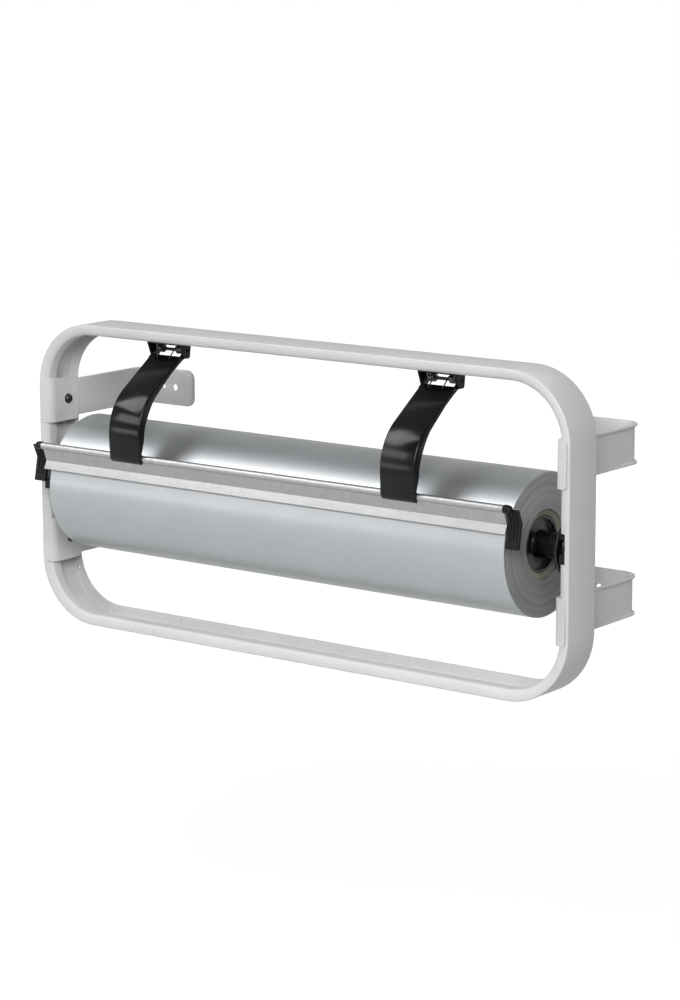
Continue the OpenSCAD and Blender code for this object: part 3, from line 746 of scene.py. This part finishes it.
def core_shell():
    end = [(CORE_HALF - 0.3, CORE_R), (CORE_HALF, CORE_R - 0.3), (CORE_HALF, CORE_BORE_R + 0.3),
           (CORE_HALF - 0.3, CORE_BORE_R)]
    return turned(end + [(-x, r) for x, r in reversed(end)], 96)


COLLAR_LOW, COLLAR_HIGH = node_mm("axle_collar_right")
COLLAR_X = COLLAR_LOW.x
COLLAR_R = (COLLAR_HIGH.z - COLLAR_LOW.z) / 2
HUB_R = 15.0
NECK_R = 11.0
PLUG_X = CORE_HALF - PLUG_RECESS


def plug_body():
    """Tapered plug with a raised rim, a sunk web and a neck out to the collar."""
    face = CORE_BORE_R - FIT
    bore = AXLE_R + AXLE_FIT
    return turned([
        (PLUG_X - PLUG_LEN, bore), (PLUG_X - PLUG_LEN, face - 2.4), (PLUG_X - PLUG_LEN + 1, face - 2),
        (PLUG_X - 0.6, face), (PLUG_X, face - 0.6), (PLUG_X, face - 2.2), (PLUG_X - 0.5, face - 2.7),
        (PLUG_X - 3.2, face - 3.1), (PLUG_X - 3.8, face - 3.8), (PLUG_X - 3.8, NECK_R + 2.6),
        (PLUG_X - 3.0, NECK_R + 1.0), (PLUG_X - 1.2, NECK_R + 0.1), (PLUG_X + 1, NECK_R),
        (COLLAR_X - 1.2, NECK_R), (COLLAR_X - 0.35, NECK_R - 0.6), (COLLAR_X - 0.15, NECK_R - 1.2),
        (COLLAR_X - 0.15, bore)], 96)


def collar_body():
    bore = AXLE_R + AXLE_FIT
    disc = COLLAR_X + 3.0
    end = COLLAR_HIGH.x
    return turned([
        (COLLAR_X, bore), (COLLAR_X, COLLAR_R - 0.9), (COLLAR_X + 0.25, COLLAR_R - 0.25),
        (COLLAR_X + 0.9, COLLAR_R), (disc - 0.9, COLLAR_R), (disc - 0.25, COLLAR_R - 0.25),
        (disc, COLLAR_R - 0.9), (disc, HUB_R + 0.8), (disc + 0.25, HUB_R + 0.25), (disc + 0.8, HUB_R),
        (end - 0.6, HUB_R), (end, HUB_R - 0.6), (end, bore)], 96)


make_piece("roll_layers", "roll", ROLL_EDGES, [roll_layers()], ["paper_roll"])
make_piece("roll_wrap", "roll", ROLL_SILVER, [roll_wrap()])
make_piece("roll_core", "roll", CARD, [core_shell()], ["core_tube"])
for side_name, _, turn_over in SIDES:
    make_piece(f"plug_{side_name}", "roll", PLUG_BLACK,
               [turn_over(plug_body())], [f"core_plug_{side_name}"])
    make_piece(f"collar_{side_name}", "roll", PLUG_BLACK,
               [turn_over(collar_body())], [f"axle_collar_{side_name}"])


# Cutter: two arms on their pins, and the bar that they press on the roll

def heading(a):
    return Vector((math.cos(a), math.sin(a)))


def inward(a):
    return Vector((-math.sin(a), math.cos(a)))


def on_slope(way, under):
    return Vector((PIN.y, PIN.z)) + way * heading(SLOPE) + under * inward(SLOPE)


def on_bend(a, under):
    return on_slope(ARM_REACH, ARM_BEND_R) - (ARM_BEND_R - under) * inward(a)


def on_drop(way, under):
    return on_bend(DROP, under) + way * heading(DROP)


# The bar stands in front of the roll, and the arm's drop is the tangent from its bend to the bead
CLIP_OUT = CLIP_R + ARM_T
BEAD = Vector((AXLE_DEPTH - math.sqrt((ROLL_R + BAR_STAND + BEAD_R) ** 2 - (BEAD_Z - AXLE_Z) ** 2), BEAD_Z))
TO_BEAD = BEAD - on_slope(ARM_REACH, ARM_BEND_R)
BEAD_DROP = math.sqrt(TO_BEAD.length ** 2 - (ARM_BEND_R - CLIP_OUT) ** 2)
DROP = 2 * math.pi + math.atan2(TO_BEAD.y, TO_BEAD.x) + math.atan2(ARM_BEND_R - CLIP_OUT, BEAD_DROP)
CREASE = Vector((BEAD.x + CREASE_BACK, CREASE_Z))
EDGE = Vector((CREASE.x - EDGE_FORWARD, EDGE_Z))
CHEEK_END = (on_drop(0, 0).y - BEAD_Z - BEAD_R - 1) / -heading(DROP).y


def across_arm(point, normal, cheek):
    """The arm's section at a point of its face: a channel with rounded shoulders."""
    outline = soften([
        (-ARM_HALF, cheek, 0.4), (-ARM_HALF, 0, 1.5), (ARM_HALF, 0, 1.5), (ARM_HALF, cheek, 0.4),
        (ARM_HALF - ARM_T, cheek, 0.4), (ARM_HALF - ARM_T, ARM_T, 0.1), (ARM_T - ARM_HALF, ARM_T, 0.1),
        (ARM_T - ARM_HALF, cheek, 0.4)])
    return [Vector((across, *(point + normal * under))) for across, under in outline]


def arm_channel():
    places = [(on_slope(way, 0), SLOPE, cheek) for way, cheek in (
        (FACE_START, 4.2), (14, 4.1), (21, 3.9), (28, 3.8), (37, 4.6), (47, 5.5), (ARM_REACH, CHEEK_TURN))]
    steps = 20
    for k in range(1, steps + 1):
        share = k / steps
        cheek = CHEEK_TURN + 2.6 * math.sin(math.pi * min(share, 0.5)) - 2.8 * max(0.0, share - 0.5)
        a = SLOPE + (DROP - SLOPE) * share
        places.append((on_bend(a, 0), a, cheek))
    low = places[-1][2]
    places += [(on_drop(CHEEK_END * share, 0), DROP, low + (3.2 - low) * share)
               for share in (0.25, 0.5, 0.75, 1)]
    return skin([across_arm(point, inward(a), cheek) for point, a, cheek in places])


def arm_clip():
    """The end of the face curls under the bar's bead, and a lip behind it reaches over."""
    face = soften([(-ARM_HALF, ARM_T, 0.3), (-ARM_HALF, 0, 1.2),
                   (ARM_HALF, 0, 1.2), (ARM_HALF, ARM_T, 0.3)])
    places = [(on_drop(CHEEK_END - 0.8, 0.03), DROP), (on_drop(CHEEK_END, 0.03), DROP),
              (on_drop(CHEEK_END + 0.4, 0), DROP), (on_drop(BEAD_DROP, 0), DROP)]
    for k in range(1, 9):
        a = DROP + math.radians(68) * k / 8
        places.append((BEAD - CLIP_OUT * inward(a), a))
    curl = skin([[Vector((across, *(point + inward(a) * under))) for across, under in face]
                 for point, a in places])
    front = math.degrees(DROP) - 90
    hook = arc(BEAD, CLIP_R, front + 8, front - 70, 8) + [
        tuple(BEAD + CLIP_OUT * heading(math.radians(front - 70))),
        tuple(on_drop(BEAD_DROP - CLIP_OUT, ARM_T - 0.4)), tuple(on_drop(BEAD_DROP, ARM_T - 0.4))]
    return [curl, slab(hook, -ARM_HALF + 0.4, ARM_HALF - 0.4, along_x)]


def arm_ear(side):
    """The cheek's upper end, which runs on the pin."""
    ring = [tuple(on_slope(4.3 * math.cos(a), 4.3 * math.sin(a)))
            for a in [math.radians(-6 - 264 * k / 24) for k in range(25)]]
    tail = [tuple(on_slope(way, under)) for way, under in (
        (1.5, 5.2), (FACE_START, 4.15), (13, 4.0), (13, 0.2), (FACE_START, 0.08))]
    hole = arc((PIN.y, PIN.z), 1.56, 0, 345, 23)
    low, high = sorted((side * (ARM_HALF - ARM_T + 0.05), side * (ARM_HALF - 0.05)))
    return slab(ring + tail, low, high, along_x, [hole])


FOOT_UNDER = HALF_H - FRONT_FLANGE - 3
FOOT_BACK = 27.0
EAR_GAP = 0.3
EAR_T = 1.5
FOOT_HALF = ARM_HALF + EAR_GAP + EAR_T


def foot_block():
    """The foot fills the rail's mouth behind the lip."""
    roof = HALF_H - SHEET_T - FIT
    mouth = HALF_H - REAR_FLANGE + 1
    lip = HALF_H - FRONT_FLANGE + SHEET_T + FIT
    front, rear = LIP_END + FIT, FRAME_D - SHEET_T - FIT
    outline = soften([
        (front, FOOT_UNDER, 1.2), (FOOT_BACK, FOOT_UNDER, 0.8), (FOOT_BACK, mouth, 0.4), (rear, mouth, 0.4),
        (rear, roof, 0.4), (6, roof, 0.4), (6, lip, 0.4), (front, lip, 0.4)])
    return slab(outline, -FOOT_HALF, FOOT_HALF, along_x)


def foot_ear(side):
    """A tapering plate that hangs from the foot beside the arm and holds the pin."""
    low = PIN.z - 7
    outline = soften([
        (LIP_END + FIT, FOOT_UNDER + 1, 0), (LIP_END + FIT, FOOT_UNDER, 0), (17.5, low, 2.2),
        (25.5, low, 2.2), (FOOT_BACK, FOOT_UNDER, 0), (FOOT_BACK, FOOT_UNDER + 1, 0)])
    start, end = sorted((side * (ARM_HALF + EAR_GAP), side * FOOT_HALF))
    return slab(outline, start, end, along_x)


def spring_path(steps=20):
    """Middle line of a torsion spring: a leg on the arm's face, the coil and a leg to the foot."""
    pin = Vector((PIN.y, PIN.z))
    leg = on_slope(13, -0.9) - pin
    start = math.atan2(leg.y, leg.x) + 2 * math.pi - math.acos(COIL_R / leg.length)
    sweep = start - math.pi + 8 * math.pi
    path = [Vector((SPRING_X, *(pin + leg)))]
    count = int(steps * sweep / (2 * math.pi))
    for k in range(count + 1):
        a = sweep * k / count
        across = SPRING_X + COIL_PITCH * a / (2 * math.pi)
        path.append(Vector((across, *(pin + COIL_R * heading(start - a)))))
    last = path[-1]
    top = FOOT_UNDER - 0.3
    path += [Vector((last.x, last.y, last.z + (top - last.z) * share)) for share in (0.3, 1)]
    return path, last.x


def bar_section():
    """The bar's web in depth and height, from the bead over the crease to the tear edge."""
    half = 0.8
    return soften([
        (BEAD.x - half, BEAD.y, 0), (CREASE.x, CREASE.y, 0.5),
        (EDGE.x, EDGE.y, 0.1), (EDGE.x + 0.4, EDGE.y, 0.1),
        (EDGE.x + 2.24, EDGE.y + 2.4, 0.6), (CREASE.x + 1.6, CREASE.y, 0.4), (BEAD.x + half, BEAD.y, 0)])


def bar_foot():
    """The rib behind the crease that rides on the roll."""
    reach = AXLE_DEPTH - math.sqrt((ROLL_R + 1.3) ** 2 - (CREASE_Z - AXLE_Z) ** 2)
    start = CREASE.x + 0.8
    low, high = CREASE_Z - 1, CREASE_Z + 1
    return soften([(start, low, 0), (reach + 1, low, 0.95), (reach + 1, high, 0.95), (start, high, 0)])


def cap_parts():
    """The right cap: a bent pad with three ribs, and a round boss on the bead's end."""
    start = BAR_HALF + FIT
    top = Vector((BEAD.x + 0.6, BEAD_Z))
    waist = CREASE + Vector((1.1, 2))
    foot = Vector((EDGE.x + 0.38, -1.4))
    back = Vector((3, 0))
    outline = soften([(*top, 0.4), (*waist, 1.2), (*foot, 0.6),
                      (*(foot + back), 0.8), (*(waist + back), 1.5), (*(top + back), 0.8)])
    parts = [slab(outline, start, start + CAP_W, along_x)]
    rib_top, rib_low = top + (waist - top) / 6, foot + (waist - foot) / 3
    for k in (1, 2, 3):
        middle = start + CAP_W * k / 4
        rib = [tuple(point + Vector(move)) for point, move in (
            (rib_top, (0.3, 0.6)), (rib_top, (-0.6, 0)), (waist, (-0.6, 0)),
            (rib_low, (-0.6, 0)), (rib_low, (0.3, -0.6)), (waist, (0.3, 0)))]
        parts.append(slab(rib, middle - CAP_W / 16, middle + CAP_W / 16, along_x))
    boss = BEAD_R + 0.5
    length = CAP_W / 3
    rings = []
    profile = [(start, 0.1), (start, boss - 0.4), (start + 0.4, boss)]
    profile += [(start + length + boss * math.sin(t), boss * math.cos(t))
                for t in [math.radians(a) for a in range(0, 86, 12)]]
    for x, r in profile:
        rings.append([Vector((x, BEAD.x + r * math.cos(a), BEAD.y + r * math.sin(a)))
                      for a in [2 * math.pi * k / 32 for k in range(32)]])
    parts.append(skin(rings))
    return parts


for side_name, side, turn_over in SIDES:
    at = side * ARM_X
    make_piece(f"arm_face_{side_name}", "cutter", ARM_BLACK,
               [shifted(part, x=at) for part in [arm_channel(), *arm_clip(), arm_ear(-1), arm_ear(1)]],
               [f"arm_{side_name}"])
    make_piece(f"foot_{side_name}", "frame", PART_BLACK,
               [shifted(part, x=at) for part in [foot_block(), foot_ear(-1), foot_ear(1)]],
               [f"arm_foot_{side_name}"], edge=0.5)
    for hand_name, hand in (("inner", -1), ("outer", 1)):
        path, end = spring_path()
        wire = tube([Vector((at + hand * p.x, p.y, p.z)) for p in path], WIRE_R)
        spring = make_piece(f"spring_{side_name}_{hand_name}", None, SPRING_STEEL, [wire],
                            [f"torsion_spring_{side_name}"])
        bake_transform(spring)
    make_piece(f"cap_{side_name}", "cutter", CAP_BLACK,
               [turn_over(part) for part in cap_parts()], [f"end_cap_{side_name}"], edge=0.35)

bar_outlines = [arc(BEAD, BEAD_R, 0, 350, 35), bar_section(), bar_foot()]
make_piece("bar_edge", "cutter", BAR_ALLOY,
           [slab(outline, -BAR_HALF, BAR_HALF, along_x) for outline in bar_outlines], ["cut_bar"])


# Pieces that keep the shape of the frame's own nodes

def coat_nodes(finish, *nodes):
    for node in nodes:
        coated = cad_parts[node]
        coated.data.materials.clear()
        coated.data.materials.append(finish)


coat_nodes(PART_BLACK, "axle_bearing_left", "axle_bearing_right")
coat_nodes(ENAMEL_BLACK, "axle", "pivot_pin_left", "pivot_pin_right")
coat_nodes(ZINC, "clamp_dogs", "collar_screws", "foot_screws")


# Stage, light and camera

LAMP_AIM = Vector((0, -0.1, 0))


def seen_or_reflected(tree, gloss=0.6):
    """1 for rays from the camera, somewhat less for rays that metal and gloss send out, else 0."""
    path = add(tree, "ShaderNodeLightPath").outputs
    straight = maths(tree, "MAXIMUM", path["Is Camera Ray"], path["Is Transmission Ray"])
    return maths(tree, "MAXIMUM", straight, maths(tree, "MULTIPLY", path["Is Glossy Ray"], gloss))


def stage_floor(low=-0.62, reach=6.0):
    """A pale floor with the object's shadow, which fades to white with distance."""
    mesh = bpy.data.meshes.new("floor")
    corners = [(-reach, -reach, low), (reach, -reach, low), (reach, reach, low), (-reach, reach, low)]
    mesh.from_pydata(corners, [], [(0, 1, 2, 3)])
    floor = link(bpy.data.objects.new("floor", mesh))
    material = bpy.data.materials.new("pale_floor")
    material.use_nodes = True
    tree = material.node_tree
    shader = tree.nodes["Principled BSDF"]
    shader.inputs["Base Color"].default_value = (0.6, 0.6, 0.6, 1)
    shader.inputs["Roughness"].default_value = 0.9
    shader.inputs["Specular IOR Level"].default_value = 0.1
    shader.inputs["Emission Color"].default_value = (1, 1, 1, 1)
    place = add(tree, "ShaderNodeTexCoord").outputs["Object"]
    away = add(tree, "ShaderNodeVectorMath", {0: place}, operation="LENGTH").outputs["Value"]
    lift = between(tree, away, 0.9, 3.2, 0.68, 1.0)
    glow = maths(tree, "MULTIPLY", seen_or_reflected(tree), lift)
    tree.links.new(glow, shader.inputs["Emission Strength"])
    mesh.materials.append(material)


def white_surroundings(soft=0.13):
    """White to the camera, paler in reflections and less so from high up, and a soft level as light."""
    world = bpy.data.worlds.new("studio")
    bpy.context.scene.world = world
    world.use_nodes = True
    tree = world.node_tree
    tree.nodes.clear()
    place = add(tree, "ShaderNodeTexCoord").outputs["Generated"]
    up = add(tree, "ShaderNodeSeparateXYZ", {"Vector": place}).outputs["Z"]
    seen = seen_or_reflected(tree, between(tree, up, 0.0, 0.7, 0.6, 0.2))
    level = add(tree, "ShaderNodeMapRange", {"Value": seen, "To Min": soft, "To Max": 1.0}).outputs[0]
    shine = add(tree, "ShaderNodeBackground", {"Color": (1, 1, 1, 1), "Strength": level})
    out = add(tree, "ShaderNodeOutputWorld")
    tree.links.new(shine.outputs[0], out.inputs["Surface"])


def soft_lamp(name, place, width, height, power):
    """A rectangular lamp that faces the middle of the object."""
    lamp = bpy.data.lights.new(name, "AREA")
    lamp.shape = "RECTANGLE"
    lamp.size, lamp.size_y = width, height
    lamp.energy = power
    thing = link(bpy.data.objects.new(name, lamp))
    thing.location = place
    thing.rotation_mode = "QUATERNION"
    thing.rotation_quaternion = (LAMP_AIM - Vector(place)).to_track_quat("-Z", "Y")


def photo_camera():
    lens = bpy.data.cameras.new("camera")
    lens.lens = 107.97
    lens.sensor_width = 36.0
    lens.clip_end = 50.0
    view = link(bpy.data.objects.new("camera", lens))
    yaw, pitch, roll = math.radians(37.19), math.radians(10.97), math.radians(-0.20)
    aim = Matrix.Rotation(yaw, 4, "Z") @ Matrix.Rotation(math.pi / 2 - pitch, 4, "X")
    stand = Matrix.Translation((1.5974, FRONT_Y - 2.0291, 0.5049))
    view.matrix_world = stand @ aim @ Matrix.Rotation(roll, 4, "Z")
    bpy.context.scene.camera = view


stage_floor()
white_surroundings()
soft_lamp("left_lamp", (-1.75, -1.3, 2.1), 1.2, 1.2, 26.0)
soft_lamp("left_low_lamp", (-1.75, -2.2, 1.05), 1.2, 0.6, 9.0)
soft_lamp("right_lamp", (2.11, -1.51, 1.51), 1.0, 1.0, 19.0)
soft_lamp("front_lamp", (0.85, -1.7, 0.95), 0.8, 0.8, 23.0)
soft_lamp("level_lamp", (-1.75, -2.43, 0.05), 1.4, 0.3, 4.0)
soft_lamp("back_lamp", (0, 1.8, 2.4), 1.0, 1.0, 11.0)
photo_camera()
bpy.context.scene.view_settings.view_transform = "Standard"
